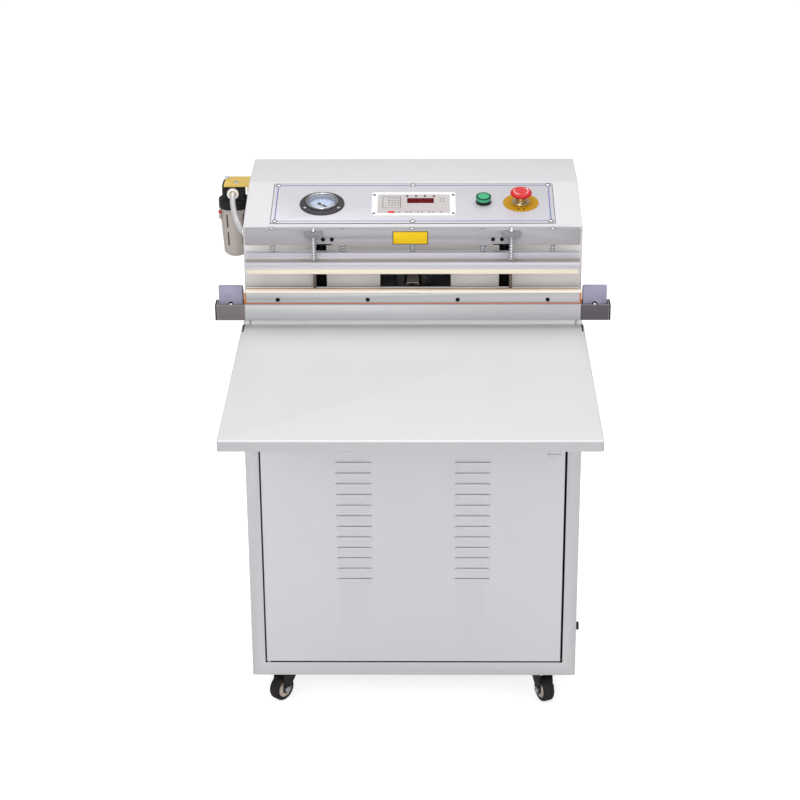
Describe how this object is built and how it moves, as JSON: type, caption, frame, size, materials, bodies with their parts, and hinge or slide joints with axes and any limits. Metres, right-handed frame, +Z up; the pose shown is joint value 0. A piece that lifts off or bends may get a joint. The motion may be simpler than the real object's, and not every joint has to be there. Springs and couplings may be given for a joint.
{
  "type": "external vacuum sealer",
  "caption": "Floor-standing external vacuum sealer: steel cabinet on swivel casters with a louvred door, a work table, a sprung sealing jaw, a sliding nozzle and a sloped control head",
  "frame": {"origin": "middle of the footprint's bounding box, on the floor", "axes": "+X to the operator's right, +Y to the back, +Z up"},
  "size_m": [0.7304, 0.886, 0.9903],
  "materials": {
    "painted_steel": "satin",
    "stainless": "satin",
    "control_face": "satin",
    "blackened_steel": "satin",
    "zinc": "satin",
    "bright_steel": "polished",
    "extrusion": "satin",
    "silicone": "matte",
    "heater_tape": "matte",
    "cover_plastic": "satin",
    "black_plastic": "matte",
    "grey_plastic": "satin",
    "white_plastic": "gloss",
    "keypad_film": "satin",
    "display_red": "gloss",
    "yellow_paint": "satin",
    "yellow_zinc": "satin",
    "dial_face": "matte",
    "clear": "polished",
    "clear_hose": "polished",
    "green_lens": "gloss",
    "red_plastic": "gloss",
    "tyre_black": "matte",
    "pump_paint": "satin",
    "coil_copper": "satin"
  },
  "bodies": {
    "root": {"cabinet_shell": "painted_steel", "door_pivots": "zinc", "work_table": "painted_steel", "table_brackets": "painted_steel", "head_cover": "painted_steel", "head_front_panel": "painted_steel", "control_plate": "control_face", "machine_screws": "zinc", "gauge_case": "blackened_steel", "gauge_dial": "dial_face", "gauge_lens": "clear", "controller_frame": "white_plastic", "controller_keypad": "keypad_film", "controller_display": "display_red", "lamp_base": "black_plastic", "lamp_lens": "green_lens", "stop_disk": "yellow_paint", "stop_collar": "bright_steel", "support_tube": "extrusion", "tube_caps": "black_plastic", "sealing_bar": "extrusion", "lower_strip": "silicone", "heater_strips": "heater_tape", "terminal_covers": "cover_plastic", "guide_rods": "bright_steel", "nozzle_guide": "black_plastic", "lift_cylinders": "extrusion", "filter_head": "black_plastic", "filter_bracket": "yellow_zinc", "filter_fitting": "white_plastic", "filter_hose": "clear_hose", "vacuum_pump": "pump_paint", "transformer": "coil_copper", "cable_gland": "black_plastic", "caster_plates": "zinc"},
    "door": {"door_panel": "painted_steel"},
    "latch": {"door_latch": "bright_steel"},
    "needle": {"gauge_needle": "black_plastic"},
    "stop_push": {"stop_stem": "bright_steel"},
    "stop_turn": {"stop_head": "red_plastic"},
    "upper_beam": {"pressure_beam": "extrusion", "beam_plate": "yellow_paint", "arm_screws": "black_plastic", "drive_arms": "blackened_steel"},
    "upper_jaw": {"seal_carrier": "extrusion", "upper_strip": "silicone", "carrier_studs": "zinc", "short_springs": "zinc", "long_springs": "zinc"},
    "suction": {"nozzle": "stainless"},
    "bowl": {"filter_bowl": "grey_plastic"},
    "bowl_catch": {"filter_lock": "white_plastic"},
    "fork_fl": {"caster_fork_fl": "blackened_steel"},
    "roller_fl": {"wheel_fl": "tyre_black"},
    "fork_fr": {"caster_fork_fr": "blackened_steel"},
    "roller_fr": {"wheel_fr": "tyre_black"},
    "fork_rl": {"caster_fork_rl": "blackened_steel"},
    "roller_rl": {"wheel_rl": "tyre_black"},
    "fork_rr": {"caster_fork_rr": "blackened_steel"},
    "roller_rr": {"wheel_rr": "tyre_black"}
  },
  "joints": [
    {"name": "door_hinge", "type": "hinge", "parent": "root", "child": "door", "pos_m": [-0.27375, -0.0025, 0.3545], "axis": [0, 0, -1], "range_deg": [0, 110]},
    {"name": "latch_turn", "type": "hinge", "parent": "door", "child": "latch", "pos_m": [0.26575, -0.007, 0.5445], "axis": [0, 1, 0], "range_deg": [0, 90]},
    {"name": "needle_turn", "type": "hinge", "parent": "root", "child": "needle", "pos_m": [-0.16375, 0.19646, 0.95766], "axis": [0, 0.2079, -0.9781], "range_deg": [0, 230], "stiffness_Nm_per_rad": 0.0002},
    {"name": "stop_press", "type": "slide", "parent": "root", "child": "stop_push", "axis": [0, 0.2079, -0.9781], "range_m": [0, 0.005], "stiffness_N_per_m": 1000, "springref_m": -0.002},
    {"name": "stop_release", "type": "hinge", "parent": "stop_push", "child": "stop_turn", "pos_m": [0.20475, 0.19601, 0.97903], "axis": [0, 0.2079, -0.9781], "range_deg": [0, 30], "stiffness_Nm_per_rad": 0.1},
    {"name": "beam_lift", "type": "slide", "parent": "root", "child": "upper_beam", "axis": [0, 0, 1], "range_m": [-0.0335, 0], "stiffness_N_per_m": 3000, "springref_m": 0.03},
    {"name": "jaw_float", "type": "slide", "parent": "upper_beam", "child": "upper_jaw", "axis": [0, 0, 1], "range_m": [0, 0.008], "stiffness_N_per_m": 3000, "springref_m": -0.01, "deforming": ["short_springs", "long_springs"]},
    {"name": "nozzle_slide", "type": "slide", "parent": "root", "child": "suction", "axis": [0, -1, 0], "range_m": [0, 0.06]},
    {"name": "bowl_turn", "type": "hinge", "parent": "root", "child": "bowl", "pos_m": [-0.33575, 0.293, 0.88], "axis": [0, 0, 1], "range_deg": [0, 45]},
    {"name": "catch_slide", "type": "slide", "parent": "bowl", "child": "bowl_catch", "axis": [0, 0, -1], "range_m": [0, 0.003], "stiffness_N_per_m": 300, "springref_m": -0.002},
    {"name": "swivel_fl", "type": "hinge", "parent": "root", "child": "fork_fl", "pos_m": [-0.24125, 0.047, 0.067], "axis": [0, 0, 1], "continuous": true},
    {"name": "roll_fl", "type": "hinge", "parent": "fork_fl", "child": "roller_fl", "pos_m": [-0.25411, 0.03168, 0.025], "axis": [0.766, -0.6428, 0], "continuous": true},
    {"name": "swivel_fr", "type": "hinge", "parent": "root", "child": "fork_fr", "pos_m": [0.25075, 0.047, 0.067], "axis": [0, 0, 1], "continuous": true},
    {"name": "roll_fr", "type": "hinge", "parent": "fork_fr", "child": "roller_fr", "pos_m": [0.25888, 0.02873, 0.025], "axis": [0.9135, 0.4067, 0], "continuous": true},
    {"name": "swivel_rl", "type": "hinge", "parent": "root", "child": "fork_rl", "pos_m": [-0.24125, 0.389, 0.067], "axis": [0, 0, 1], "continuous": true},
    {"name": "roll_rl", "type": "hinge", "parent": "fork_rl", "child": "roller_rl", "pos_m": [-0.25763, 0.37753, 0.025], "axis": [0.5736, -0.8192, 0], "continuous": true},
    {"name": "swivel_rr", "type": "hinge", "parent": "root", "child": "fork_rr", "pos_m": [0.25075, 0.389, 0.067], "axis": [0, 0, 1], "continuous": true},
    {"name": "roll_rr", "type": "hinge", "parent": "fork_rr", "child": "roller_rr", "pos_m": [0.26607, 0.37614, 0.025], "axis": [0.6428, 0.766, 0], "continuous": true}
  ]
}
